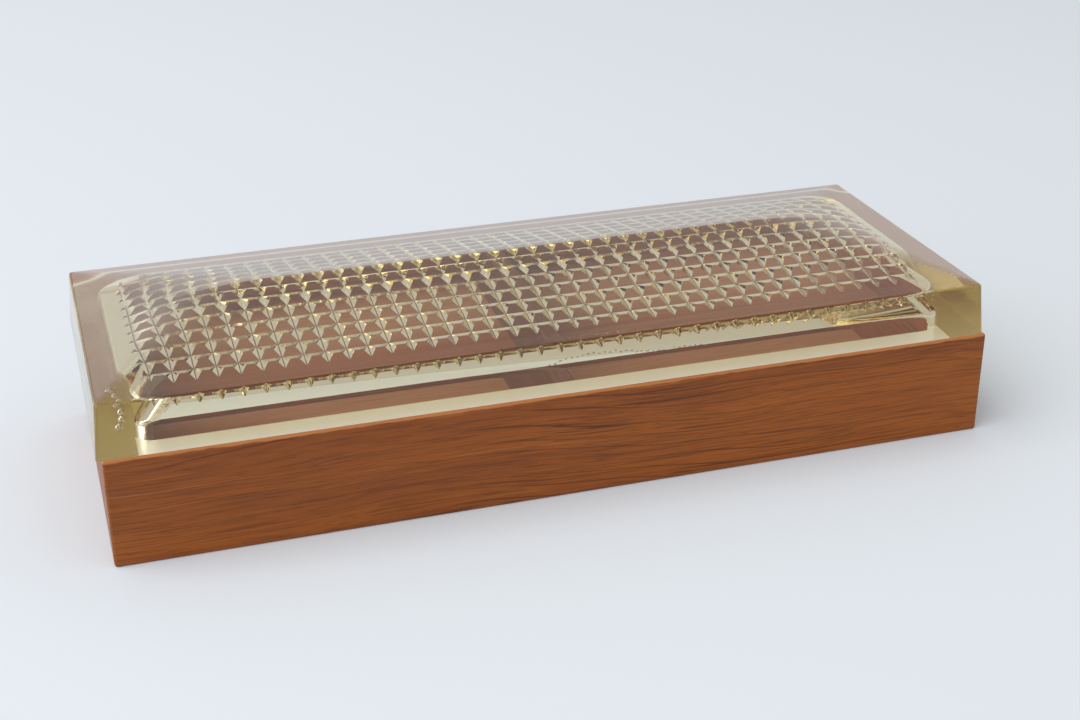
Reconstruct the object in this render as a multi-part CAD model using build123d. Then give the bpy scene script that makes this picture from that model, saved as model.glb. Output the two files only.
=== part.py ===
"""A long wooden box for two decks of playing cards, under a loose lid of cast resin.

The lid is a block with a low, softly hipped top. Its underside has a bevelled recess
whose ceiling is a field of blunt pyramids, cut as a grid of V-shaped ridges.

Millimetres. X runs along the box, Y to the back and Z up. The origin is the centre
of the wooden base on the surface that it stands on.
"""
from build123d import *
import math
import os

# Wooden base
BASE_L = 220.0  # outside length
BASE_W = 81.8  # outside width
BASE_H = 27.2  # height of the walls
WALL_T = 9.2  # thickness of the rails and ends
EDGE_R = 0.7  # easing of the outside edges

# Bottom panel, in a rebate round the underside
PANEL_T = 4.0  # thickness
REBATE_IN = 4.4  # how far the rebate reaches into the walls
PANEL_PLAY = 0.15  # room round the panel, for the wood to move

# Loose tongues hidden in the mitres
TONGUE_T = 2.0  # thickness
TONGUE_REACH = 2.6  # how far each tongue goes into either board
TONGUE_STOP = 3.5  # how far it stops below the top edge

# Divider
DIVIDER_T = 5.0  # thickness of the divider
DIVIDER_DROP = 1.0  # its top edge lies this far below the walls'
DIVIDER_EASE = 0.8  # easing of its top edge

# Lid, outside
LID_OVER = 0.15  # the lid's foot stands past the wood by this on every side
LID_SIDE_H = 13.05  # from the foot to the eaves
LID_DRAFT = 1.0  # how far the sides lean in on the way up
LID_RISE = 8.5  # from the eaves to the crest
LID_END_ANGLE = 15.0  # slope of the two end facets, degrees
HIP_BLEND = 0.45  # how widely the end slopes melt into the long ones, 0 for sharp hips
LID_EDGE_R = 0.7  # rounding of its upright edges and eaves
LID_LIFT = 0.2  # air between the lid's foot and the wood
LID_ASIDE = -1.08  # the loose lid lies this far along X from the middle
LID_BACK = 0.37  # and this far along Y

# Lid, recess in the underside
RECESS_WALL_H = 4.1  # upright part of the recess's wall
RECESS_ANGLE = 48.0  # slope of the bevel above it, degrees
RECESS_R = 5.0  # rounding of the recess's corners
KNEE_R = 2.0  # rounding between the wall and the bevel

# Lid, pyramids in the recess's ceiling
PITCH = 5.03  # spacing of the ridges, both ways
FIELD_ASIDE = -0.3  # the grid lies this far along X from the lid's middle
PYRAMID_H = 1.8  # height of a pyramid
TOP_LENGTH = 1.6  # length of its blunt top, along X
FIELD_DEPTH = 8.4  # the ridges follow the outside top this far below it
CREST_SOFT = 4.5  # how widely the grid is rounded over below the crest

# Worked out from the values above
HALF_L = BASE_L / 2
HALF_W = BASE_W / 2
IN_L = HALF_L - WALL_T  # half the room between the ends
IN_W = HALF_W - WALL_T  # half the room between the rails
FOOT_L = HALF_L + LID_OVER
FOOT_W = HALF_W + LID_OVER
EAVE_L = FOOT_L - LID_DRAFT
EAVE_W = FOOT_W - LID_DRAFT
END_SLOPE = math.tan(math.radians(LID_END_ANGLE))


def standing_box(length, width, low, high):
    """A box centred on the origin in plan, from low to high."""
    return Pos(0, 0, low) * Box(length, width, high - low, align=(Align.CENTER, Align.CENTER, Align.MIN))


def prism(points, low, high):
    """An upright prism over a polygon given as (x, y) points."""
    outline = make_face(Polyline(*points, close=True))
    return Pos(0, 0, low) * extrude(outline, amount=high - low)


def front_wedge(high):
    """The space between the mitre planes of the two front corners."""
    return prism([(-HALF_L, -HALF_W), (HALF_L, -HALF_W), (HALF_L - HALF_W, 0), (HALF_W - HALF_L, 0)], 0, high)


def left_wedge(high):
    """The space between the mitre planes of the two left corners."""
    return prism([(-HALF_L, -HALF_W), (HALF_W - HALF_L, 0), (-HALF_L, HALF_W)], 0, high)


def four_sides(frame, high):
    """Cuts a ring at its mitres into the front, back, left and right pieces."""
    front = front_wedge(high)
    left = left_wedge(high)
    back = mirror(front, about=Plane.XZ)
    right = mirror(left, about=Plane.YZ)
    return frame & front, frame & back, frame & left, frame & right


def wall_frame():
    """The four walls as one ring, with eased edges and the rebate for the bottom panel."""
    outside = standing_box(BASE_L, BASE_W, 0, BASE_H)
    outside = fillet(outside.edges(), EDGE_R)
    room = standing_box(2 * IN_L, 2 * IN_W, 0, BASE_H)
    rebate = standing_box(2 * (IN_L + REBATE_IN), 2 * (IN_W + REBATE_IN), 0, PANEL_T)
    return outside - room - rebate


def mitre_tongues():
    """One tongue across each mitre, in the middle of the wall's thickness and clear above the rebate."""
    middle_l = HALF_L - WALL_T / 2
    middle_w = HALF_W - WALL_T / 2
    tongue = standing_box(2 * TONGUE_REACH, TONGUE_T, PANEL_T, BASE_H - TONGUE_STOP)
    tongues = []
    for side_x in (-1, 1):
        for side_y in (-1, 1):
            turn = -45 * side_x * side_y
            tongues.append(Pos(side_x * middle_l, side_y * middle_w, 0) * Rot(0, 0, turn) * tongue)
    return Compound(children=tongues)


def bottom_panel():
    """The panel that closes the base, flush with the underside of the walls."""
    length = 2 * (IN_L + REBATE_IN - PANEL_PLAY)
    width = 2 * (IN_W + REBATE_IN - PANEL_PLAY)
    return standing_box(length, width, 0, PANEL_T)


def divider():
    """The board between the two decks. It stands on the panel and reaches from rail to rail."""
    board = standing_box(DIVIDER_T, 2 * IN_W, PANEL_T, BASE_H - DIVIDER_DROP)
    top_edges = board.edges().filter_by(Axis.Y).group_by(Axis.Z)[-1]
    return fillet(top_edges, DIVIDER_EASE)


def polygon(points):
    """A flat face through the given points."""
    return Face(Wire.make_polygon(points, close=True))


def top_height(x, y):
    """Height of the outside top above the foot: two long slopes and two end slopes, softly joined."""
    side = 1 - abs(y) / EAVE_W
    end = (EAVE_L - abs(x)) * END_SLOPE / LID_RISE
    reach = max(HIP_BLEND * (side + end) / 2, 1e-9)
    overlap = max(reach - abs(side - end), 0)
    return LID_SIDE_H + LID_RISE * (min(side, end) - overlap**2 / (4 * reach))


def above_front_half():
    """The space over the front half of the top, a little wider than the lid."""
    rows = 45
    columns = 13
    reach_x = EAVE_L + 3
    reach_y = EAVE_W + 3
    xs = [reach_x * (2 * i / (rows - 1) - 1) for i in range(rows)]
    ys = [reach_y * (j / (columns - 1) - 1) for j in range(columns)]
    points = [[Vector(x, y, top_height(x, y)) for y in ys] for x in xs]
    top = Face.make_surface_from_array_of_points(points, tol=0.02, min_deg=1, max_deg=3)
    return extrude(top, amount=LID_SIDE_H + LID_RISE, dir=(0, 0, 1))


def roofed_block():
    """The lid without its recess: leaning sides and a low hipped top, with rounded edges."""
    lean = math.degrees(math.atan(LID_DRAFT / LID_SIDE_H))
    foot = Rectangle(2 * FOOT_L, 2 * FOOT_W)
    block = extrude(foot, amount=LID_SIDE_H + LID_RISE + 1, taper=lean)
    over = above_front_half()
    block = block - over - mirror(over, about=Plane.XZ)
    outer = [edge for edge in block.edges() if edge.center().Z > 0.01]
    edges = [edge for edge in outer if abs(edge.center().X) > 1 or abs(edge.center().Y) > 1]
    return fillet(edges, LID_EDGE_R)


def rounded_outline(half_l, half_w, z):
    """A rounded rectangle at height z, with the recess's corner rounding."""
    return Pos(0, 0, z) * RectangleRounded(2 * half_l, 2 * half_w, RECESS_R)


def recess_plug():
    """The recess with a plain ceiling above the pyramids: an upright wall, then a bevel on every side."""
    tall = LID_SIDE_H + LID_RISE - FIELD_DEPTH + PYRAMID_H - RECESS_WALL_H
    inset = tall / math.tan(math.radians(RECESS_ANGLE))
    mouth = rounded_outline(IN_L, IN_W, 0)
    upright = extrude(mouth, amount=RECESS_WALL_H)
    knee = rounded_outline(IN_L, IN_W, RECESS_WALL_H)
    top = rounded_outline(IN_L - inset, IN_W - inset, RECESS_WALL_H + tall)
    plug = upright + loft([knee, top], ruled=True)
    knee_edges = [edge for edge in plug.edges() if abs(edge.center().Z - RECESS_WALL_H) < 0.001]
    return fillet(knee_edges, KNEE_R)


def ridge_height(x, y):
    """Height of the ridges above the lid's foot: the outside top again, lower and rounded over."""
    return top_height(x, math.hypot(y, CREST_SOFT)) - FIELD_DEPTH


def pyramid(corners):
    """The six facets of one pyramid over a cell's four corners, with a short blunt top along X."""
    middle = Vector(*[sum(values) / 4 for values in zip(*[tuple(corner) for corner in corners])])
    along = (corners[1] + corners[2] - corners[0] - corners[3]) * (TOP_LENGTH / PITCH / 4)
    left = middle - along + Vector(0, 0, PYRAMID_H)
    right = middle + along + Vector(0, 0, PYRAMID_H)
    front_left, front_right, back_right, back_left = corners
    return [
        polygon([front_left, front_right, right]),
        polygon([front_left, right, left]),
        polygon([front_right, back_right, right]),
        polygon([back_right, back_left, left]),
        polygon([back_right, left, right]),
        polygon([back_left, front_left, left]),
    ]


def pyramid_field():
    """A slab whose top is the field of pyramids, wider than the recess on every side."""
    half_x = math.ceil(IN_L / PITCH)
    half_y = math.ceil(IN_W / PITCH)
    xs = [PITCH * k + FIELD_ASIDE for k in range(-half_x, half_x + 1)]
    ys = [PITCH * k for k in range(-half_y, half_y + 1)]
    rows = [[Vector(x, y, ridge_height(x, y)) for x in xs] for y in ys]
    faces = []
    for j in range(len(ys) - 1):
        for i in range(len(xs) - 1):
            faces += pyramid([rows[j][i], rows[j][i + 1], rows[j + 1][i + 1], rows[j + 1][i]])
    floor = -PITCH
    columns = list(zip(*rows))
    borders = [rows[0], rows[-1], columns[0], columns[-1]]
    for border in borders:
        first = border[0]
        last = border[-1]
        skirt = [Vector(last.X, last.Y, floor), Vector(first.X, first.Y, floor)]
        faces.append(polygon(list(border) + skirt))
    under = [(xs[0], ys[0]), (xs[-1], ys[0]), (xs[-1], ys[-1]), (xs[0], ys[-1])]
    faces.append(polygon([Vector(x, y, floor) for x, y in under]))
    return Solid(Shell(faces))


def lid():
    """The whole lid, on the base."""
    recess = recess_plug() & pyramid_field()
    return Pos(LID_ASIDE, LID_BACK, BASE_H + LID_LIFT) * (roofed_block() - recess)


tongues = mitre_tongues()
front_rail, back_rail, left_end, right_end = four_sides(wall_frame(), BASE_H)
parts = {
    "front_rail": front_rail - tongues,
    "back_rail": back_rail - tongues,
    "left_end": left_end - tongues,
    "right_end": right_end - tongues,
    "mitre_tongues": tongues,
    "bottom_panel": bottom_panel(),
    "divider": divider(),
    "lid": lid(),
}

os.makedirs("parts", exist_ok=True)
for name, shape in parts.items():
    export_step(shape, f"parts/{name}.step")
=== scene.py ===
"""A playing card box of oiled teak under a loose lid of cast resin, dressed on its CAD frame.

Metres, in the CAD's own frame: X along the box, Y to the back, Z up, the floor at Z = 0.
"""
import bpy
import bmesh
import math
import random
from mathutils import Matrix, Vector


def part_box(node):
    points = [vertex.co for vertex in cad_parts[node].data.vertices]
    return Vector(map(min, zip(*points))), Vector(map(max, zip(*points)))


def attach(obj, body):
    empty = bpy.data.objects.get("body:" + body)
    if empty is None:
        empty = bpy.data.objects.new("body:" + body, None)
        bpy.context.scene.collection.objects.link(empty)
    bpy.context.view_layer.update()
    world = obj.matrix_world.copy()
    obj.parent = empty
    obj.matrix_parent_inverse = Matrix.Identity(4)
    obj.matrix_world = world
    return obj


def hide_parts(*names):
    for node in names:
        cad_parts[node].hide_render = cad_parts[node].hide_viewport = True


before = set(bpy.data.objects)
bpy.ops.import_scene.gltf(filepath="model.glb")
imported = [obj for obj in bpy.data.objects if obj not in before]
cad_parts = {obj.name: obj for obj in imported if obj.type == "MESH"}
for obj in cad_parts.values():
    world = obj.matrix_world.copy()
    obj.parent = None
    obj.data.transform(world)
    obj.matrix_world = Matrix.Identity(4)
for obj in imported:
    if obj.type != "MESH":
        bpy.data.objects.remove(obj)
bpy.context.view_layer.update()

bl_info = {
    "name": "Playing card box",
    "version": (1, 0, 0),
    "blender": (4, 5, 0),
    "location": "3D View > Sidebar > Card box",
    "description": "Dresses a teak playing card box and its clear resin lid",
    "category": "Object",
}

MM = 0.001
TINY = 1e-9  # keeps a division away from nought

# Places taken from the frame
LID_LOW = Vector(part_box("lid")[0])
LID_HIGH = Vector(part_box("lid")[1])
LID_MIDDLE = (LID_LOW + LID_HIGH) / 2
LID_SIZE = LID_HIGH - LID_LOW
BASE_HALF_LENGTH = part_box("right_end")[1][0]
BASE_HALF_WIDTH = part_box("back_rail")[1][1]
BASE_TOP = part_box("back_rail")[1][2]
ROOM_HALF_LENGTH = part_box("right_end")[0][0]  # the room between the boards
ROOM_HALF_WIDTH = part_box("back_rail")[0][1]

# Lid
LID_DRAFT = 1.0 * MM  # how far the sides lean in on the way up
ROOF_STEP = 1.2 * MM  # spacing of the roof's grid away from its edges
EAVE_LINES = (0.0, 0.02, 0.08, 0.2, 0.4, 0.7, 1.0, 1.3)  # grid lines in from an eave, in eave roundings
CREST_LINES = (0.0, 0.12 * MM, 0.3 * MM, 0.8 * MM)  # grid lines away from the crest
SIDE_LEVELS = (0.99, 0.5, 0.01, 0.0)  # rows of points down the sides, as shares of the height
CORNER_STEPS = 16  # segments round a corner of the recess
KNEE_STEPS = 12  # segments between the recess's wall and bevel
PLUG_PAST = 2.0 * MM  # how far the recess's room reaches out of the foot
PLUG_SPARE = 1.0 * MM  # and how far above the highest pyramid
FIELD_FLOOR = -5.0 * MM  # underside of the slab of pyramids, from the foot
FIELD_BLANK = 50.0 * MM  # height of the slab before its points are moved
GRID_PER_CELL = 6.0  # grid steps across a cell, whose two halves bend at their thirds

# Flaws of the casting, in millimetres and radians
FLAW_SEED = 7
CHAIN_BUBBLES = 5
CHAIN_START = Vector((4.8, 1.8, 6.6))  # in from the eaves' front left corner, and up from the foot
CHAIN_RUN = Vector((0.0, 4.6, 5.6))  # from the first bubble to the last
CHAIN_BEND = 1.0  # how far the chain swings to the right and back
CHAIN_TURN = 4.0  # angle of the swing's curve
CHAIN_RADIUS = (0.78, 0.9)
STRAY_BUBBLES = 26
STRAY_IN = (1.5, 7.0)  # in from the eaves of the ends
STRAY_UP = (2.0, 12.0)
STRAY_RADIUS = (0.08, 0.22)
STRAY_SPREAD = 0.9  # share of the width that they lie in
CHIPS = 30
CHIPS_START = -4.0  # where along the lid their line starts
CHIPS_RUN = 40.0
CHIPS_UP = 5.2  # height of the first chip
CHIPS_ARCH = 1.6  # how far the line rises above that
CHIPS_ARCH_PART = 0.625  # share of the line that the arch takes up
CHIP_OUT = (0.6, 1.4)  # out from the recess's wall
CHIP_OFF_ALONG = 0.1  # how far a chip lies off the line, either way
CHIP_OFF_UP = 0.2
CHIP_LENGTH = (0.3, 0.55)  # half its size, as are the next two
CHIP_DEPTH = 0.05
CHIP_HEIGHT = (0.1, 0.25)
CHIP_TURN = 0.4  # either way

# Cast resin. Angles run from 0, facing the eye, to 1, edge on
FOOT_SKIN = 0.05 * MM  # points this near the underside belong to the foot
TOP_UPRIGHT = 0.93  # a face whose normal points up by more than this belongs to the top
MILK_ANGLES = (0.35, 0.6)  # where the long sides of the foot turn milky
HAZE_ANGLES = (0.38, 0.86)  # where the worn top turns hazy
HAZE_FACING = 0.1  # share of the haze where the top faces the eye
MIRROR_LIMIT = 3.5  # light that was mirrored more often leaves the resin unbent
TURN_LIMIT = 10.5  # and so does light that has turned more often than this in all

# Figures of the teak in millimetres: length along the grain, then width and height across it
BENDS = (111, 33.3, 33.3)  # bends of the grain
ZONES = (250, 14.3, 14.3)  # lighter and darker zones
STREAKS = (83.3, 0.909, 0.909)  # thin streaks
STRONG_ZONES = (71.4, 11.1, 11.1)  # zones where the dark lines are strong
FIBRES = (16.7, 0.526, 0.526)  # bundles; a single fibre is a fiftieth of a millimetre and wouldn't show
PORES = (5.88, 0.1923, 0.1923)  # pores cut open along the grain, at their real width
SEASON_DRIFT = (250, 28.6, 28.6)  # how the growth lines stray
SEASON = 3.846  # from one growth line to the next
ARRIS_PATCHES = (3.85, 2.5, 1.11)  # patches of the rubbed arris and its painted highlight
BEND_ASIDE = 6.0 * MM  # how far a bend moves the grain sideways
BEND_UP = 12.0 * MM  # and up
SEASON_STRAY = 6.0  # how many growth lines they stray by
SEASON_LINE = 0.08  # how far a growth line fades out on either side, in seasons
SEASON_DARK = 0.65  # how dark its middle is
ARRIS_WIDTH = 0.9 * MM  # the lighter arris, rubbed and painted with its highlight, in from the outside
ARRIS_HEIGHT = 0.4 * MM  # and down from the top
ARRIS_ROUGH = 0.8 * MM  # how far its patches reach further down
ARRIS_WEAR_AND_HIGHLIGHT = 0.7  # how strongly it is rubbed and painted lighter as a highlight
RELIEF = 0.04 * MM  # depth of the fibres and pores
RELIEF_STRENGTH = 0.6
FIBRES_RAISED = 0.5  # share of the relief that the fibres take
TEAK_SPECULAR = 0.3  # oil dulls the surface's mirror

# How the teak's marks show: as a mark goes from the first value to the second, its colour's share goes from
# the third to the fourth
ZONES_SHOW = (0.35, 0.65, 0.0, 1.0)
LIGHT_STREAKS_SHOW = (0.40, 0.28, 0.0, 0.25)
DARK_STREAKS_SHOW = (0.57, 0.66, 0.0, 1.0)
STRONG_ZONES_SHOW = (0.45, 0.66, 0.15, 0.6)
FIBRES_SHOW = (0.42, 0.68, 0.0, 0.38)
PORES_SHOW = (0.64, 0.76, 0.0, 0.5)
PORES_SUNK = (0.66, 0.76, 0.0, 0.5)
SEASONS_SHOW = (0.44, 0.62, 0.0, 1.0)
SATIN = (0.3, 0.7, 0.34, 0.46)  # the zones' roughness, in the same way

# Studio, in metres
FLOOR_HALF = 3.0  # half the floor's side
PAPER_ROUGHNESS = 0.9
SOFT_BOX_PLACE = Vector((-1.35, -0.35, 1.3))
SOFT_BOX_SIDE = 2.4
CAMERA_FORWARD = Vector((0.27544, 0.86130, -0.42696))  # the way that the camera looks
CAMERA_UP = Vector((0.13214, 0.40600, 0.90427))
SENSOR_WIDTH = 36.0  # millimetres

MATH = "ShaderNodeMath"
RANGE = "ShaderNodeMapRange"
MIX = "ShaderNodeMix"
SMOOTH = "SMOOTHSTEP"


def linear(code):
    """A linear colour with alpha from an sRGB hex value."""
    parts = [int(code[k:k + 2], 16) / 255 for k in (1, 3, 5)]
    return tuple(p / 12.92 if p <= 0.04045 else ((p + 0.055) / 1.055) ** 2.4 for p in parts) + (1.0,)


def add(tree, kind, inputs=(), **settings):
    """A node with its settings. Its inputs, in order or by name, are values, or what feeds them."""
    node = tree.nodes.new(kind)
    for name, value in settings.items():
        setattr(node, name, value)
    pairs = inputs.items() if isinstance(inputs, dict) else enumerate(inputs)
    for name, value in pairs:
        if isinstance(value, bpy.types.Node):
            value = next(socket for socket in value.outputs if socket.enabled)
        if isinstance(value, bpy.types.NodeSocket):
            tree.links.new(value, node.inputs[name])
        else:
            node.inputs[name].default_value = value
    return node


def new_material(name):
    """An empty node material and its tree."""
    material = bpy.data.materials.new(name)
    material.use_nodes = True
    material.node_tree.nodes.clear()
    return material, material.node_tree


def figure(tree, where, size, detail=3.0, roughness=0.5):
    """Cloudy marks over a place in metres, with their size in millimetres along each axis."""
    marks = tuple(1 / (step * MM) for step in size)
    place = add(tree, "ShaderNodeMapping", {"Vector": where, "Scale": marks})
    look = {"Vector": place, "Scale": 1.0, "Detail": detail, "Roughness": roughness}
    return add(tree, "ShaderNodeTexNoise", look)


def stained(tree, tone, colour, marks, show):
    """A tone with a colour laid over it as strongly as the marks show there."""
    share = add(tree, RANGE, (marks, *show), interpolation_type=SMOOTH)
    return add(tree, MIX, {0: share, 6: tone, 7: colour}, data_type="RGBA")


def foot_milk(tree, place, flat, foot, settings):
    """How milky the resin is: only the two long sides of the foot, and only at a flat angle."""
    from_middle = add(tree, MATH, (place["X"], settings.lid_place[0]), operation="SUBTRACT")
    far = add(tree, MATH, (from_middle,), operation="ABSOLUTE")
    between_ends = add(tree, MATH, (far, settings.recess_length / 2), operation="LESS_THAN")
    sides = add(tree, MATH, (foot, between_ends), operation="MULTIPLY")
    milk = add(tree, RANGE, (flat, *MILK_ANGLES, 0.0, settings.foot_milk), interpolation_type=SMOOTH)
    return add(tree, MATH, (sides, milk), operation="MULTIPLY")


def top_haze(tree, flat, foot, settings):
    """How hazy the resin is: only its worn top, and more at a flat angle."""
    normal = add(tree, "ShaderNodeNewGeometry").outputs["True Normal"]
    upward = add(tree, "ShaderNodeSeparateXYZ", (normal,)).outputs["Z"]
    level = add(tree, MATH, (upward, TOP_UPRIGHT), operation="GREATER_THAN")
    above = add(tree, MATH, (1.0, foot), operation="SUBTRACT")
    top = add(tree, MATH, (level, above), operation="MULTIPLY")
    least = HAZE_FACING * settings.top_haze
    haze = add(tree, RANGE, (flat, *HAZE_ANGLES, least, settings.top_haze), interpolation_type=SMOOTH)
    return add(tree, MATH, (top, haze), operation="MULTIPLY")


def aged_resin(settings):
    """Clear resin, cast, polished and gone yellow: it bends what lies below, and its depth shows olive.

    Fine wear leaves a thin white haze on the top, more at a flat angle. The foot is rubbed matt, and
    along the two long sides it is ground milky. Light on its way to other pieces goes straight through.
    """
    material, tree = new_material("cast resin, yellowed")
    where = add(tree, "ShaderNodeTexCoord").outputs["Object"]
    place = add(tree, "ShaderNodeSeparateXYZ", (where,)).outputs
    flat = add(tree, "ShaderNodeLayerWeight", {"Blend": 0.5}).outputs["Facing"]
    foot = add(tree, MATH, (place["Z"], LID_LOW.z + FOOT_SKIN), operation="LESS_THAN")
    milk = foot_milk(tree, place, flat, foot, settings)
    haze = top_haze(tree, flat, foot, settings)
    cloudy = add(tree, MATH, (milk, haze), operation="ADD")
    body = add(tree, "ShaderNodeBsdfPrincipled", {
        "Base Color": (1, 1, 1, 1),
        "Roughness": add(tree, MATH, (foot, settings.foot_roughness), operation="MULTIPLY"),
        "IOR": settings.resin_ior,
        "Transmission Weight": add(tree, MATH, (1.0, cloudy), operation="SUBTRACT"),
    })
    open_way = add(tree, "ShaderNodeBsdfTransparent", {"Color": (1, 1, 1, 1)})
    path = add(tree, "ShaderNodeLightPath").outputs
    onward = add(tree, MATH, (path["Is Shadow Ray"], path["Is Diffuse Ray"]), operation="MAXIMUM")
    mirrored = add(tree, MATH, (path["Glossy Depth"], MIRROR_LIMIT), operation="GREATER_THAN")
    turned = add(tree, MATH, (path["Ray Depth"], TURN_LIMIT), operation="GREATER_THAN")
    spent = add(tree, MATH, (mirrored, turned), operation="MAXIMUM")
    leaves = add(tree, MATH, (onward, spent), operation="MAXIMUM")
    surface = add(tree, "ShaderNodeMixShader", (leaves, body, open_way))
    look = {"Color": settings.resin_tint, "Density": settings.resin_density}
    depth = add(tree, "ShaderNodeVolumeAbsorption", look)
    add(tree, "ShaderNodeOutputMaterial", {"Surface": surface, "Volume": depth})
    return material


def growth_lines(tree, grain, strong):
    """How strongly the dark growth lines show. They run along the board and are cut aslant."""
    parts = add(tree, "ShaderNodeSeparateXYZ", (grain,)).outputs
    across = add(tree, MATH, (parts["Y"], parts["Z"]), operation="ADD")
    count = add(tree, MATH, (across, 1 / (SEASON * MM)), operation="MULTIPLY")
    stray = figure(tree, grain, SEASON_DRIFT, 2.0)
    count = add(tree, MATH, (stray, SEASON_STRAY, count), operation="MULTIPLY_ADD")
    near = add(tree, MATH, (count, 0.5), operation="PINGPONG")
    lines = add(tree, RANGE, (near, 0.0, SEASON_LINE, SEASON_DARK, 0.0), interpolation_type=SMOOTH)
    depth = add(tree, RANGE, (strong, *SEASONS_SHOW), interpolation_type=SMOOTH)
    return add(tree, MATH, (lines, depth), operation="MULTIPLY")


def arris_wear_and_highlight(tree, where, place, worn):
    """How strongly the wood is lighter along the outer edge of the top, in ragged patches: rubbed wear, and
    a painted highlight on the rounded arris.
    """
    parts = add(tree, "ShaderNodeSeparateXYZ", (where,)).outputs
    far_x = add(tree, MATH, (parts["X"],), operation="ABSOLUTE")
    far_y = add(tree, MATH, (parts["Y"],), operation="ABSOLUTE")
    past_end = add(tree, MATH, (far_x, BASE_HALF_LENGTH), operation="SUBTRACT")
    past_side = add(tree, MATH, (far_y, BASE_HALF_WIDTH), operation="SUBTRACT")
    past = add(tree, MATH, (past_end, past_side), operation="MAXIMUM")
    outer = add(tree, MATH, (past, -ARRIS_WIDTH), operation="GREATER_THAN")
    patches = figure(tree, place, ARRIS_PATCHES)
    height = add(tree, MATH, (patches, ARRIS_ROUGH, parts["Z"]), operation="MULTIPLY_ADD")
    above = add(tree, MATH, (height, BASE_TOP), operation="SUBTRACT")
    upper = add(tree, RANGE, (above, -ARRIS_HEIGHT, 0.0, 0.0, worn), interpolation_type=SMOOTH)
    return add(tree, MATH, (outer, upper), operation="MULTIPLY")


def teak(name, settings, along, light, deep, dark, worn=0.0):
    """Teak, planed and sanded: orange-brown, with fibres, pores and thin dark streaks along the grain.

    Oil leaves it satin, with a soft sheen at a flat angle. The outer arris at the top is lighter: rubbed,
    and painted with the highlight that its rounding catches.
    """
    material, tree = new_material(name)
    where = add(tree, "ShaderNodeTexCoord").outputs["Object"]
    turn = (0, 0, 0 if along == "X" else math.radians(90))
    place = add(tree, "ShaderNodeMapping", {"Vector": where, "Rotation": turn})
    wander = figure(tree, place, BENDS, 2.0)
    aside = add(tree, MATH, (wander, BEND_ASIDE), operation="MULTIPLY")
    up = add(tree, MATH, (wander, BEND_UP), operation="MULTIPLY")
    sway = add(tree, "ShaderNodeCombineXYZ", {"Y": aside, "Z": up})
    grain = add(tree, "ShaderNodeVectorMath", (place, sway), operation="ADD")
    zones = figure(tree, grain, ZONES, 4.0)
    streaks = figure(tree, grain, STREAKS, 3.0, 0.55)
    strong = figure(tree, grain, STRONG_ZONES, 2.0)
    fibres = figure(tree, grain, FIBRES, 3.0, 0.6)
    pores = figure(tree, grain, PORES, 1.0)

    # The ground: broad zones, light streaks and bundles of darker fibres
    tone = stained(tree, deep, light, zones, ZONES_SHOW)
    tone = stained(tree, tone, settings.teak_pale_and_highlight, streaks, LIGHT_STREAKS_SHOW)
    tone = stained(tree, tone, dark, fibres, FIBRES_SHOW)

    # The figure: dark streaks, growth lines and pores, with the rubbed arris and its painted highlight over
    # them
    thin = add(tree, RANGE, (streaks, *DARK_STREAKS_SHOW), interpolation_type=SMOOTH)
    depth = add(tree, RANGE, (strong, *STRONG_ZONES_SHOW), interpolation_type=SMOOTH)
    dark_streaks = add(tree, MATH, (thin, depth), operation="MULTIPLY")
    seasons = growth_lines(tree, grain, strong)
    arris = arris_wear_and_highlight(tree, where, place, worn)
    tone = add(tree, MIX, {0: dark_streaks, 6: tone, 7: dark}, data_type="RGBA")
    tone = add(tree, MIX, {0: seasons, 6: tone, 7: dark}, data_type="RGBA")
    tone = stained(tree, tone, dark, pores, PORES_SHOW)
    # The arris is rubbed lighter and also carries a painted highlight
    tone = add(tree, MIX, {0: arris, 6: tone, 7: settings.teak_pale_and_highlight}, data_type="RGBA")

    # The relief: fibres stand up a little, and pores are sunk
    raised = add(tree, MATH, (fibres, FIBRES_RAISED), operation="MULTIPLY")
    sunk = add(tree, RANGE, (pores, *PORES_SUNK), interpolation_type=SMOOTH)
    height = add(tree, MATH, (raised, sunk), operation="SUBTRACT")
    relief = {"Height": height, "Distance": RELIEF, "Strength": RELIEF_STRENGTH}
    body = add(tree, "ShaderNodeBsdfPrincipled", {
        "Base Color": tone,
        "Roughness": add(tree, RANGE, (zones, *SATIN), interpolation_type=SMOOTH),
        "Specular IOR Level": TEAK_SPECULAR,
        "Normal": add(tree, "ShaderNodeBump", relief),
    })
    add(tree, "ShaderNodeOutputMaterial", {"Surface": body})
    return material


def number_property(label, text, default, **kind):
    """A number that the user can change."""
    return bpy.props.FloatProperty(name=label, description=text, default=default, **kind)


def size_property(label, text, default):
    """A length in metres that the user can change."""
    return number_property(label, text, default, unit="LENGTH", subtype="DISTANCE")


def share_property(label, text, default):
    """A share from 0 to 1 that the user can change."""
    return number_property(label, text, default, min=0.0, max=1.0, subtype="FACTOR")


def slope_property(label, text, degrees):
    """A slope that the user can change."""
    return number_property(label, text, math.radians(degrees), unit="ROTATION", subtype="ANGLE")


def place_property(label, text, default):
    """A place in metres that the user can change."""
    kind = {"size": len(default), "unit": "LENGTH", "subtype": "TRANSLATION"}
    return bpy.props.FloatVectorProperty(name=label, description=text, default=default, **kind)


def colour_property(label, text, code):
    """A colour that the user can change."""
    kind = {"size": 4, "min": 0.0, "max": 1.0, "subtype": "COLOR"}
    return bpy.props.FloatVectorProperty(name=label, description=text, default=linear(code), **kind)


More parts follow.
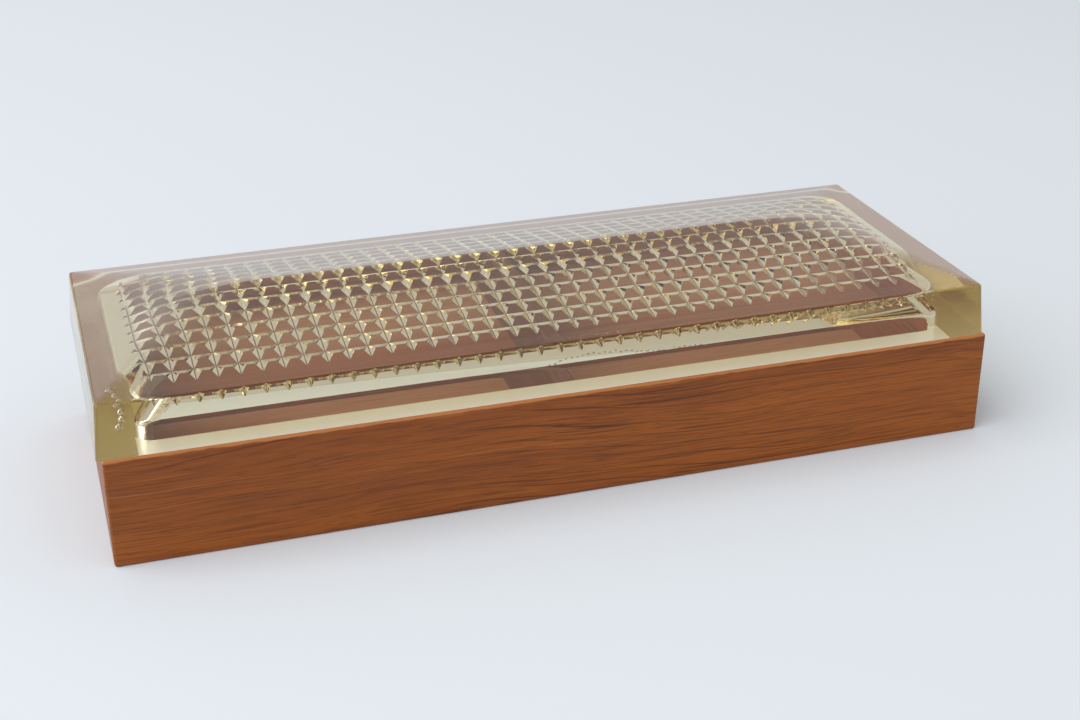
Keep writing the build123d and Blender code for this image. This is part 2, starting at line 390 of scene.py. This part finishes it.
class CardBoxSettings(bpy.types.PropertyGroup):
    """Sizes and colours of the box, its floor and its light."""
    resin_tint: colour_property("Resin tint", "Colour left after a long way through the resin", "#e0ce64")
    resin_density: number_property("Resin density", "How strongly its depth takes the tint", 34.0, min=0.0)
    resin_ior: number_property("Resin IOR", "How strongly the resin bends light", 1.55, min=1.0)
    foot_milk: share_property("Foot milk", "How milky the foot's long sides look at a flat angle", 0.5)
    top_haze: share_property("Top haze", "How much light the worn top scatters at a flat angle", 0.26)
    foot_roughness: share_property("Foot roughness", "How matt the foot is rubbed", 0.3)
    lid_place: place_property("Lid place", "Where the loose lid lies", (LID_MIDDLE.x, LID_MIDDLE.y))
    side_height: size_property("Side height", "From the lid's foot to the eaves", 13.05 * MM)
    lid_rise: size_property("Rise", "From the eaves to the crest", 8.5 * MM)
    end_angle: slope_property("End slope", "Slope of the two end facets", 15)
    eave_length: size_property("Eave length", "Length of the lid at the eaves", LID_SIZE.x - 2 * LID_DRAFT)
    eave_width: size_property("Eave width", "Width of the lid at the eaves", LID_SIZE.y - 2 * LID_DRAFT)
    lid_draft: size_property("Draft", "How far the sides lean in", LID_DRAFT)
    lid_edge_round: size_property("Eave rounding", "Radius of the eaves", 0.7 * MM)
    lid_corner_round: size_property("Corner rounding", "Radius of the upright edges", 0.9 * MM)
    crest_round: size_property("Crest rounding", "How softly the two slopes meet", 0.25 * MM)
    hip_blend: number_property("Hip blend", "How widely the slopes melt into each other", 0.45, min=0.0)
    recess_length: size_property("Recess length", "At its mouth", 2 * ROOM_HALF_LENGTH)
    recess_width: size_property("Recess width", "At its mouth", 2 * ROOM_HALF_WIDTH)
    recess_wall: size_property("Recess wall", "Height of the upright wall", 4.1 * MM)
    recess_angle: slope_property("Bevel slope", "Slope of the bevel", 48)
    recess_knee: size_property("Knee", "Radius between wall and bevel", 2.0 * MM)
    recess_round: size_property("Recess corners", "Radius in plan", 5.0 * MM)
    recess_spread: number_property("Corner spread", "How much the radius grows on the way in", 0.3)
    pitch: size_property("Pitch", "Spacing of the ridges", 5.03 * MM)
    field_shift: size_property("Field shift", "How far the pyramids lie off the middle along X", -0.3 * MM)
    pyramid_height: size_property("Pyramid height", "From the ridges to the apex", 1.8 * MM)
    top_length: size_property("Top length", "Length of a pyramid's blunt top", 1.6 * MM)
    top_width: size_property("Top width", "Width of a pyramid's blunt top", 0.05 * MM)
    cross_ridge: size_property("Cross ridge", "Width of the flat on the ridges that run across", 0.25 * MM)
    long_ridge: size_property("Long ridge", "Width of the flat on the ridges that run along", 0.03 * MM)
    field_depth: size_property("Field depth", "From the outside top down to the ridges", 8.4 * MM)
    crest_softness: size_property("Crest softness", "Rounding of the grid below the crest", 4.5 * MM)
    teak_light: colour_property("Teak, light", "Ground colour of the wood", "#9b5417")
    teak_deep: colour_property("Teak, deep", "Colour of its darker zones", "#8a4816")
    teak_dark: colour_property("Teak, dark", "Colour of the streaks and pores", "#3a1a0c")
    # Pale colour of the light streaks in the grain, and of the arris's wear with its painted highlight
    teak_pale_and_highlight: colour_property("Teak, worn", "Colour of the rubbed arris and the light streaks", "#c4814c")
    # Painted light: paler than the outer teak, so that the inside of the box looks brighter
    inner_wood_painted_light: colour_property("Inner wood", "Ground colour of the bottom panel", "#a37250")
    # Painted shade: the divider is dark for the shade that lies about it inside the box
    divider_painted_shade: colour_property("Divider", "Ground colour of the divider", "#6b3c1e")
    floor_colour: colour_property("Floor", "Colour of the floor", "#e1e8f0")
    fill_colour: colour_property("Fill light", "Colour of the light from all round", "#f0efec")
    fill_strength: number_property("Fill strength", "Strength of the light from all round", 0.68, min=0.0)
    lamp_power: number_property("Lamp power", "Power of the soft box", 34.0, min=0.0, unit="POWER")
    camera_place: place_property("Camera", "Where the camera stands", (-0.1186, -0.3829, 0.2068))
    camera_lens: number_property("Lens", "Focal length of the camera", 56.92, unit="CAMERA")


def matt_paper(settings):
    """Pale paper, uncoated: wholly matt, so that it shows soft shadows and no reflection."""
    material, tree = new_material("matt paper, pale")
    look = {"Base Color": settings.floor_colour, "Roughness": PAPER_ROUGHNESS}
    body = add(tree, "ShaderNodeBsdfPrincipled", look)
    add(tree, "ShaderNodeOutputMaterial", {"Surface": body})
    return material


def lay_floor(context, settings):
    """A wide floor at Z = 0."""
    mesh = bpy.data.meshes.new("floor")
    corners = [(x * FLOOR_HALF, y * FLOOR_HALF, 0) for x, y in ((-1, -1), (1, -1), (1, 1), (-1, 1))]
    mesh.from_pydata(corners, [], [(0, 1, 2, 3)])
    mesh.materials.append(matt_paper(settings))
    floor = bpy.data.objects.new("floor", mesh)
    context.scene.collection.objects.link(floor)


def light_studio(context, settings):
    """Even light from all round, and one large soft box at the left that looks at the box."""
    world = bpy.data.worlds.new("studio")
    context.scene.world = world
    world.use_nodes = True
    background = world.node_tree.nodes["Background"]
    background.inputs["Color"].default_value = settings.fill_colour
    background.inputs["Strength"].default_value = settings.fill_strength
    lamp = bpy.data.lights.new("soft box left", "AREA")
    lamp.shape = "SQUARE"
    lamp.size = SOFT_BOX_SIDE
    lamp.energy = settings.lamp_power
    holder = bpy.data.objects.new("soft box left", lamp)
    turn = (-SOFT_BOX_PLACE).to_track_quat("-Z", "Y").to_matrix().to_4x4()
    holder.matrix_world = Matrix.Translation(SOFT_BOX_PLACE) @ turn
    context.scene.collection.objects.link(holder)


def set_camera(context, settings):
    """The camera, which looks down at the box from the front left."""
    data = bpy.data.cameras.new("camera")
    data.lens = settings.camera_lens
    data.sensor_width = SENSOR_WIDTH
    data.sensor_fit = "HORIZONTAL"
    camera = bpy.data.objects.new("camera", data)
    forward = CAMERA_FORWARD.normalized()
    right = forward.cross(CAMERA_UP).normalized()
    up = right.cross(forward)
    turn = Matrix((right, up, -forward)).transposed().to_4x4()
    camera.matrix_world = Matrix.Translation(Vector(settings.camera_place)) @ turn
    context.scene.collection.objects.link(camera)
    context.scene.camera = camera


class CARDBOX_OT_stage(bpy.types.Operator):
    """Sets the floor, the lights and the camera"""
    bl_idname = "cardbox.stage"
    bl_label = "Stage"

    def execute(self, context):
        settings = context.scene.card_box
        lay_floor(context, settings)
        light_studio(context, settings)
        set_camera(context, settings)
        context.scene.view_settings.view_transform = "Standard"
        return {"FINISHED"}


class CARDBOX_OT_base(bpy.types.Operator):
    """Dresses the teak base"""
    bl_idname = "cardbox.base"
    bl_label = "Base"

    def execute(self, context):
        settings = context.scene.card_box
        # The panel inside is painted paler than the outside teak, as painted light inside the box, and the
        # divider is painted dark, as painted shade
        outside = (settings.teak_light, settings.teak_deep, settings.teak_dark, ARRIS_WEAR_AND_HIGHLIGHT)
        panel_painted_light = (settings.inner_wood_painted_light, settings.teak_deep, settings.teak_deep)
        divider_shade_tones = (settings.divider_painted_shade, settings.divider_painted_shade, settings.teak_dark)
        rail_wood = teak("oiled teak, rails", settings, "X", *outside)
        end_wood = teak("oiled teak, end boards", settings, "Y", *outside)
        woods = {
            "front_rail": rail_wood,
            "back_rail": rail_wood,
            "left_end": end_wood,
            "right_end": end_wood,
            "mitre_tongues": rail_wood,
            "bottom_panel": teak("teak, bottom panel, painted lighter", settings, "X", *panel_painted_light),
            "divider": teak("teak, divider, painted dark as shade", settings, "Y", *divider_shade_tones),
        }
        for node, wood in woods.items():
            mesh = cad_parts[node].data
            mesh.materials.clear()
            mesh.materials.append(wood)
        return {"FINISHED"}


def bent(tree, share, first, second):
    """A line from 0 to 1 over a cell's half, bent at its thirds to pass through the two given values."""
    thirds = add(tree, MATH, (share, 3.0), operation="MULTIPLY")
    start = add(tree, MATH, (thirds, 1.0), operation="MINIMUM")
    total = add(tree, MATH, (start, first), operation="MULTIPLY")
    middle = add(tree, MATH, (thirds, 1.0), operation="SUBTRACT", use_clamp=True)
    gain = add(tree, MATH, (second, first), operation="SUBTRACT")
    total = add(tree, MATH, (middle, gain, total), operation="MULTIPLY_ADD")
    last = add(tree, MATH, (thirds, 2.0), operation="SUBTRACT", use_clamp=True)
    rest = add(tree, MATH, (1.0, second), operation="SUBTRACT")
    return add(tree, MATH, (last, rest, total), operation="MULTIPLY_ADD")


def ridge_level(tree, x, y, sizes):
    """Height of the ridges: the outside top again, lower and rounded over below the crest."""
    soft = sizes["Crest softness"]
    soft_square = add(tree, MATH, (soft, soft), operation="MULTIPLY")
    square = add(tree, MATH, (y, y, soft_square), operation="MULTIPLY_ADD")
    far = add(tree, MATH, (square,), operation="SQRT")
    out = add(tree, MATH, (far, sizes["Eave half width"]), operation="DIVIDE")
    side = add(tree, MATH, (1.0, out), operation="SUBTRACT")
    along = add(tree, MATH, (x,), operation="ABSOLUTE")
    to_eave = add(tree, MATH, (sizes["Eave half length"], along), operation="SUBTRACT")
    climb = add(tree, MATH, (to_eave, sizes["End slope"]), operation="MULTIPLY")
    end = add(tree, MATH, (climb, sizes["Rise"]), operation="DIVIDE")
    both = add(tree, MATH, (side, end), operation="ADD")
    widened = add(tree, MATH, (both, sizes["Hip blend"]), operation="MULTIPLY")
    halved = add(tree, MATH, (widened, 0.5), operation="MULTIPLY")
    reach = add(tree, MATH, (halved, TINY), operation="MAXIMUM")
    difference = add(tree, MATH, (side, end), operation="SUBTRACT")
    apart = add(tree, MATH, (difference,), operation="ABSOLUTE")
    inside = add(tree, MATH, (reach, apart), operation="SUBTRACT")
    overlap = add(tree, MATH, (inside, 0.0), operation="MAXIMUM")
    overlap_square = add(tree, MATH, (overlap, overlap), operation="MULTIPLY")
    reach_four = add(tree, MATH, (reach, 4.0), operation="MULTIPLY")
    dip = add(tree, MATH, (overlap_square, reach_four), operation="DIVIDE")
    lower = add(tree, MATH, (side, end), operation="MINIMUM")
    level = add(tree, MATH, (lower, dip), operation="SUBTRACT")
    return add(tree, MATH, (level, sizes["Rise"], sizes["Lowest ridge"]), operation="MULTIPLY_ADD")


def along_cells(tree, where, pitch, top, foot):
    """For one axis: the bent place of a grid point within its cell, and its fall from the top."""
    cell = add(tree, MATH, (where, pitch), operation="DIVIDE")
    start = add(tree, MATH, (cell,), operation="FLOOR")
    middle = add(tree, MATH, (start, 0.5), operation="ADD")
    from_middle = add(tree, MATH, (cell, middle), operation="SUBTRACT")
    off = add(tree, MATH, (from_middle, 2.0), operation="MULTIPLY")
    share = add(tree, MATH, (off,), operation="ABSOLUTE")
    way = add(tree, MATH, (off,), operation="SIGN")
    bent_off = add(tree, MATH, (bent(tree, share, top, foot), way), operation="MULTIPLY")
    bent_cell = add(tree, MATH, (bent_off, 0.5, middle), operation="MULTIPLY_ADD")
    place = add(tree, MATH, (bent_cell, pitch), operation="MULTIPLY")
    return place, bent(tree, share, 0.0, 1.0)


# Inputs of the pyramids' node tree, in its order
FIELD_SIZES = (
    "Cells along", "Cells across", "Pitch", "Pyramid height",
    "Top along", "Top across", "Foot along", "Foot across",
    "Eave half length", "Eave half width", "End slope", "Rise", "Hip blend",
    "Crest softness", "Lowest ridge",
)


def gridded_slab(tree, sizes):
    """A slab over all cells whose top has a grid of points for each cell."""
    length = add(tree, MATH, (sizes["Cells along"], sizes["Pitch"]), operation="MULTIPLY")
    width = add(tree, MATH, (sizes["Cells across"], sizes["Pitch"]), operation="MULTIPLY")
    size = add(tree, "ShaderNodeCombineXYZ", (length, width, FIELD_BLANK))
    count_x = add(tree, MATH, (sizes["Cells along"], GRID_PER_CELL, 1.0), operation="MULTIPLY_ADD")
    count_y = add(tree, MATH, (sizes["Cells across"], GRID_PER_CELL, 1.0), operation="MULTIPLY_ADD")
    counts = {"Size": size, "Vertices X": count_x, "Vertices Y": count_y, "Vertices Z": 2}
    return add(tree, "GeometryNodeMeshCube", counts)


def field_tree():
    """Geometry nodes for the pyramids: a gridded slab whose top is lifted cell by cell."""
    tree = bpy.data.node_groups.new("pyramid field", "GeometryNodeTree")
    for name in FIELD_SIZES:
        kind = "NodeSocketInt" if name.startswith("Cells") else "NodeSocketFloat"
        tree.interface.new_socket(name=name, in_out="INPUT", socket_type=kind)
    tree.interface.new_socket(name="Material", in_out="INPUT", socket_type="NodeSocketMaterial")
    tree.interface.new_socket(name="Geometry", in_out="OUTPUT", socket_type="NodeSocketGeometry")
    sizes = add(tree, "NodeGroupInput").outputs
    slab = gridded_slab(tree, sizes)
    position = add(tree, "GeometryNodeInputPosition")
    x, y, z = add(tree, "ShaderNodeSeparateXYZ", (position,)).outputs
    new_x, fall_x = along_cells(tree, x, sizes["Pitch"], sizes["Top along"], sizes["Foot along"])
    new_y, fall_y = along_cells(tree, y, sizes["Pitch"], sizes["Top across"], sizes["Foot across"])
    fall = add(tree, MATH, (fall_x, fall_y), operation="MAXIMUM")
    share = add(tree, MATH, (1.0, fall), operation="SUBTRACT")
    lift = add(tree, MATH, (share, sizes["Pyramid height"]), operation="MULTIPLY")
    height = add(tree, MATH, (ridge_level(tree, new_x, new_y, sizes), lift), operation="ADD")
    above = {
        "Geometry": slab,
        "Selection": add(tree, MATH, (z, 0.0), operation="GREATER_THAN"),
        "Position": add(tree, "ShaderNodeCombineXYZ", (new_x, new_y, height)),
    }
    lifted = add(tree, "GeometryNodeSetPosition", above)
    below = {
        "Geometry": lifted,
        "Selection": add(tree, MATH, (z, 0.0), operation="LESS_THAN"),
        "Position": add(tree, "ShaderNodeCombineXYZ", (x, y, FIELD_FLOOR)),
    }
    placed = add(tree, "GeometryNodeSetPosition", below)
    three_sided = add(tree, "GeometryNodeTriangulate", {"Mesh": placed}, quad_method="LONGEST_DIAGONAL")
    whole = add(tree, "GeometryNodeRealizeInstances", (three_sided,))
    dressed = add(tree, "GeometryNodeSetMaterial", {"Geometry": whole, "Material": sizes["Material"]})
    add(tree, "NodeGroupOutput", (dressed,))
    return tree


def plain(holder, name):
    """The evaluated shape of an object as a plain mesh; the holder goes away."""
    bpy.context.scene.collection.objects.link(holder)
    bpy.context.view_layer.update()
    depsgraph = bpy.context.evaluated_depsgraph_get()
    mesh = bpy.data.meshes.new_from_object(holder.evaluated_get(depsgraph))
    bpy.data.objects.remove(holder)
    mesh.name = name
    return mesh


def pyramid_field(settings, material):
    """The slab of pyramids as a plain mesh. Its cells reach past the recess on every side."""
    tree = field_tree()
    holder = bpy.data.objects.new("field", bpy.data.meshes.new("field"))
    modifier = holder.modifiers.new("field", "NODES")
    modifier.node_group = tree
    values = {
        "Cells along": 2 * math.ceil(settings.recess_length / 2 / settings.pitch),
        "Cells across": 2 * math.ceil(settings.recess_width / 2 / settings.pitch),
        "Pitch": settings.pitch,
        "Pyramid height": settings.pyramid_height,
        "Top along": settings.top_length / settings.pitch,
        "Top across": settings.top_width / settings.pitch,
        "Foot along": 1 - settings.cross_ridge / settings.pitch,
        "Foot across": 1 - settings.long_ridge / settings.pitch,
        "Eave half length": settings.eave_length / 2,
        "Eave half width": settings.eave_width / 2,
        "End slope": math.tan(settings.end_angle),
        "Rise": settings.lid_rise,
        "Hip blend": settings.hip_blend,
        "Crest softness": settings.crest_softness,
        "Lowest ridge": settings.side_height - settings.field_depth,
        "Material": material,
    }
    for item in tree.interface.items_tree:
        if item.in_out == "INPUT":
            modifier[item.identifier] = values[item.name]
    mesh = plain(holder, "field")
    mesh.transform(Matrix.Translation((settings.field_shift, 0, 0)))
    return mesh


def roof_height(settings, x, y):
    """Height of the outside top above the foot: two long slopes and two end slopes, softly joined."""
    side = 1 - math.hypot(y, settings.crest_round) / (settings.eave_width / 2)
    end = (settings.eave_length / 2 - abs(x)) * math.tan(settings.end_angle) / settings.lid_rise
    reach = max(settings.hip_blend * (side + end) / 2, TINY)
    overlap = max(reach - abs(side - end), 0)
    return settings.side_height + settings.lid_rise * (min(side, end) - overlap * overlap / (4 * reach))


def grid_lines(half, edge_round, inner):
    """Grid lines from -half to half: close together at the edges and at the given places inside."""
    near = [edge_round * share for share in EAVE_LINES]
    first = inner[-1]
    last = half - near[-1]
    count = max(int((last - first) / ROOF_STEP), 1)
    line = list(inner[:-1])
    line += [first + (last - first) * k / count for k in range(count + 1)]
    line += [half - depth for depth in reversed(near[:-1])]
    return [-place for place in reversed(line[1:])] + line


def pulled_in(settings, x, y):
    """A point of the roof's grid, pulled in where it lies past a rounded upright edge."""
    straight_x = settings.eave_length / 2 - settings.lid_corner_round
    straight_y = settings.eave_width / 2 - settings.lid_corner_round
    past_x = abs(x) - straight_x
    past_y = abs(y) - straight_y
    if past_x <= 0 or past_y <= 0:
        return x, y
    pull = max(past_x, past_y) / math.hypot(past_x, past_y)
    return math.copysign(straight_x + past_x * pull, x), math.copysign(straight_y + past_y * pull, y)


def roof_rows(work, settings):
    """The points of the lid's top, row by row, with the eaves rounded over."""
    half_l = settings.eave_length / 2
    half_w = settings.eave_width / 2
    curve = settings.lid_edge_round
    rows = []
    for y in grid_lines(half_w, curve, CREST_LINES):
        row = []
        for x in grid_lines(half_l, curve, CREST_LINES[:1]):
            edge = min(half_l - abs(x), half_w - abs(y))
            z = roof_height(settings, x, y)
            if edge < curve:
                z -= curve - math.sqrt(max(curve * curve - (curve - edge) ** 2, 0))
            row.append(work.verts.new((*pulled_in(settings, x, y), z)))
        rows.append(row)
    return rows


def join_rings(work, upper, lower):
    """Faces between two rings of as many points, seen from outside with the first ring above."""
    for k in range(len(upper)):
        n = (k + 1) % len(upper)
        work.faces.new((upper[n], upper[k], lower[k], lower[n]))


def lid_shell(settings):
    """The outside of the lid as a closed block standing on its foot."""
    work = bmesh.new()
    rows = roof_rows(work, settings)
    for j in range(len(rows) - 1):
        for i in range(len(rows[0]) - 1):
            work.faces.new((rows[j][i], rows[j][i + 1], rows[j + 1][i + 1], rows[j + 1][i]))
    rim = rows[0] + [row[-1] for row in rows[1:]] + rows[-1][-2::-1] + [row[0] for row in rows[-2:0:-1]]
    upper = rim
    for level in SIDE_LEVELS:
        lean = settings.lid_draft * (1 - level)
        lower = []
        for vert in rim:
            x, y, z = vert.co
            out_x = x * (1 + lean / (settings.eave_length / 2))
            out_y = y * (1 + lean / (settings.eave_width / 2))
            lower.append(work.verts.new((out_x, out_y, z * level)))
        join_rings(work, upper, lower)
        upper = lower
    work.faces.new(list(reversed(upper)))
    mesh = bpy.data.meshes.new("shell")
    work.to_mesh(mesh)
    work.free()
    return mesh


def rounded_outline(half_l, half_w, radius, z):
    """Points of a rounded rectangle at height z."""
    points = []
    for k, (side_x, side_y) in enumerate(((1, 1), (-1, 1), (-1, -1), (1, -1))):
        for step in range(CORNER_STEPS + 1):
            angle = math.radians(90 * (k + step / CORNER_STEPS))
            x = side_x * (half_l - radius) + radius * math.cos(angle)
            y = side_y * (half_w - radius) + radius * math.sin(angle)
            points.append((x, y, z))
    return points


def recess_profile(settings):
    """How far in and how high each ring of the recess lies: upright wall, rounded knee and bevel."""
    slope = settings.recess_angle
    knee = settings.recess_knee
    bend = math.pi / 2 - slope
    wall_top = settings.recess_wall - knee * math.tan(bend / 2)
    rings = [(0.0, -PLUG_PAST), (0.0, wall_top)]
    for k in range(1, KNEE_STEPS + 1):
        angle = bend * k / KNEE_STEPS
        rings.append((knee * (1 - math.cos(angle)), wall_top + knee * math.sin(angle)))
    inset, height = rings[-1]
    crest = settings.side_height + settings.lid_rise
    tall = crest - settings.field_depth + settings.pyramid_height + PLUG_SPARE
    rings.append((inset + (tall - height) / math.tan(slope), tall))
    return rings


def recess_plug(settings):
    """The room of the recess with a plain ceiling."""
    work = bmesh.new()
    lower = None
    for inset, height in recess_profile(settings):
        half_l = settings.recess_length / 2 - inset
        half_w = settings.recess_width / 2 - inset
        radius = settings.recess_round + settings.recess_spread * inset
        ring = [work.verts.new(point) for point in rounded_outline(half_l, half_w, radius, height)]
        if lower is None:
            work.faces.new(list(reversed(ring)))
        else:
            join_rings(work, ring, lower)
        lower = ring
    work.faces.new(lower)
    mesh = bpy.data.meshes.new("plug")
    work.to_mesh(mesh)
    work.free()
    return mesh


def joined(first, second, operation):
    """The first closed mesh with the second taken away from it, or only what they share."""
    base = bpy.data.objects.new("first", first)
    other = bpy.data.objects.new("second", second)
    bpy.context.scene.collection.objects.link(other)
    modifier = base.modifiers.new("cut", "BOOLEAN")
    modifier.operation = operation
    modifier.solver = "EXACT"
    modifier.object = other
    mesh = plain(base, first.name)
    bpy.data.objects.remove(other)
    return mesh


def cavity(work, centre, radii, turn=0.0):
    """A small hollow in the resin, turned about the vertical. Its faces look into the hollow."""
    shape = Matrix.Translation(centre) @ Matrix.Rotation(turn, 4, "Z") @ Matrix.Diagonal((*radii, 1))
    made = bmesh.ops.create_icosphere(work, subdivisions=3, radius=1.0, matrix=shape)
    faces = {face for vert in made["verts"] for face in vert.link_faces}
    bmesh.ops.reverse_faces(work, faces=list(faces))


def bubble_chain(work, rng, corner):
    """A chain of bubbles that climbs inwards in the front left corner."""
    for k in range(CHAIN_BUBBLES):
        share = k / (CHAIN_BUBBLES - 1)
        swing = Vector((CHAIN_BEND * math.sin(CHAIN_TURN * share), 0, 0))
        centre = corner + (CHAIN_START + CHAIN_RUN * share + swing) * MM
        radius = rng.uniform(*CHAIN_RADIUS) * MM
        cavity(work, centre, (radius, radius, radius))


def stray_bubbles(work, rng, half_l, half_w):
    """Small bubbles scattered near both ends."""
    for k in range(STRAY_BUBBLES):
        side = rng.choice((-1, 1))
        x = side * (half_l - rng.uniform(*STRAY_IN) * MM)
        y = rng.uniform(-STRAY_SPREAD, STRAY_SPREAD) * half_w
        radius = rng.uniform(*STRAY_RADIUS) * MM
        z = rng.uniform(*STRAY_UP) * MM
        cavity(work, (x, y, z), (radius, radius, radius))


def chip_line(work, rng, wall):
    """An arched line of flat chips in the resin in front of the recess."""
    for k in range(CHIPS):
        share = k / (CHIPS - 1)
        arch = CHIPS_ARCH * math.sin(math.pi * min(share / CHIPS_ARCH_PART, 1.0))
        x = CHIPS_START + CHIPS_RUN * share + rng.uniform(-CHIP_OFF_ALONG, CHIP_OFF_ALONG)
        y = rng.uniform(*CHIP_OUT)
        z = CHIPS_UP + arch + rng.uniform(-CHIP_OFF_UP, CHIP_OFF_UP)
        length = rng.uniform(*CHIP_LENGTH)
        height = rng.uniform(*CHIP_HEIGHT)
        radii = (length * MM, CHIP_DEPTH * MM, height * MM)
        cavity(work, (x * MM, wall - y * MM, z * MM), radii, rng.uniform(-CHIP_TURN, CHIP_TURN))


def lid_mesh(settings, material):
    """The lid as one closed mesh, with its recess and its flaws, standing at the origin."""
    recess = joined(recess_plug(settings), pyramid_field(settings, material), "INTERSECT")
    mesh = joined(lid_shell(settings), recess, "DIFFERENCE")
    half_l = settings.eave_length / 2
    half_w = settings.eave_width / 2
    rng = random.Random(FLAW_SEED)
    work = bmesh.new()
    work.from_mesh(mesh)
    bubble_chain(work, rng, Vector((-half_l, -half_w, 0)))
    stray_bubbles(work, rng, half_l, half_w)
    chip_line(work, rng, -settings.recess_width / 2)
    open_edges = sum(1 for edge in work.edges if not edge.is_manifold)
    work.to_mesh(mesh)
    work.free()
    if open_edges:
        raise RuntimeError(f"the lid has {open_edges} open edges")
    return mesh


class CARDBOX_OT_lid(bpy.types.Operator):
    """Makes the cast resin lid with its pyramids"""
    bl_idname = "cardbox.lid"
    bl_label = "Lid"

    def execute(self, context):
        settings = context.scene.card_box
        material = aged_resin(settings)
        mesh = lid_mesh(settings, material)
        mesh.transform(Matrix.Translation((*settings.lid_place, LID_LOW.z)))
        mesh.materials.clear()
        mesh.materials.append(material)
        for face in mesh.polygons:
            face.material_index = 0
        mesh.name = "resin_lid"
        piece = bpy.data.objects.new("resin_lid", mesh)
        context.scene.collection.objects.link(piece)
        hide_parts("lid")
        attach(piece, "lid")
        return {"FINISHED"}


class CARDBOX_PT_panel(bpy.types.Panel):
    """Card box panel"""
    bl_idname = "CARDBOX_PT_panel"
    bl_label = "Card box"
    bl_space_type = "VIEW_3D"
    bl_region_type = "UI"
    bl_category = "Card box"

    def draw(self, context):
        for operator in OPERATORS:
            self.layout.operator(operator.bl_idname)


OPERATORS = (CARDBOX_OT_stage, CARDBOX_OT_base, CARDBOX_OT_lid)
CLASSES = (CardBoxSettings,) + OPERATORS + (CARDBOX_PT_panel,)


def register():
    """Adds the classes and the settings."""
    for kind in CLASSES:
        bpy.utils.register_class(kind)
    bpy.types.Scene.card_box = bpy.props.PointerProperty(type=CardBoxSettings)


def unregister():
    """Takes them away again."""
    del bpy.types.Scene.card_box
    for kind in reversed(CLASSES):
        bpy.utils.unregister_class(kind)


def main():
    """Makes the whole scene."""
    register()
    bpy.ops.cardbox.stage()
    bpy.ops.cardbox.base()
    bpy.ops.cardbox.lid()


if __name__ == "__main__":
    main()
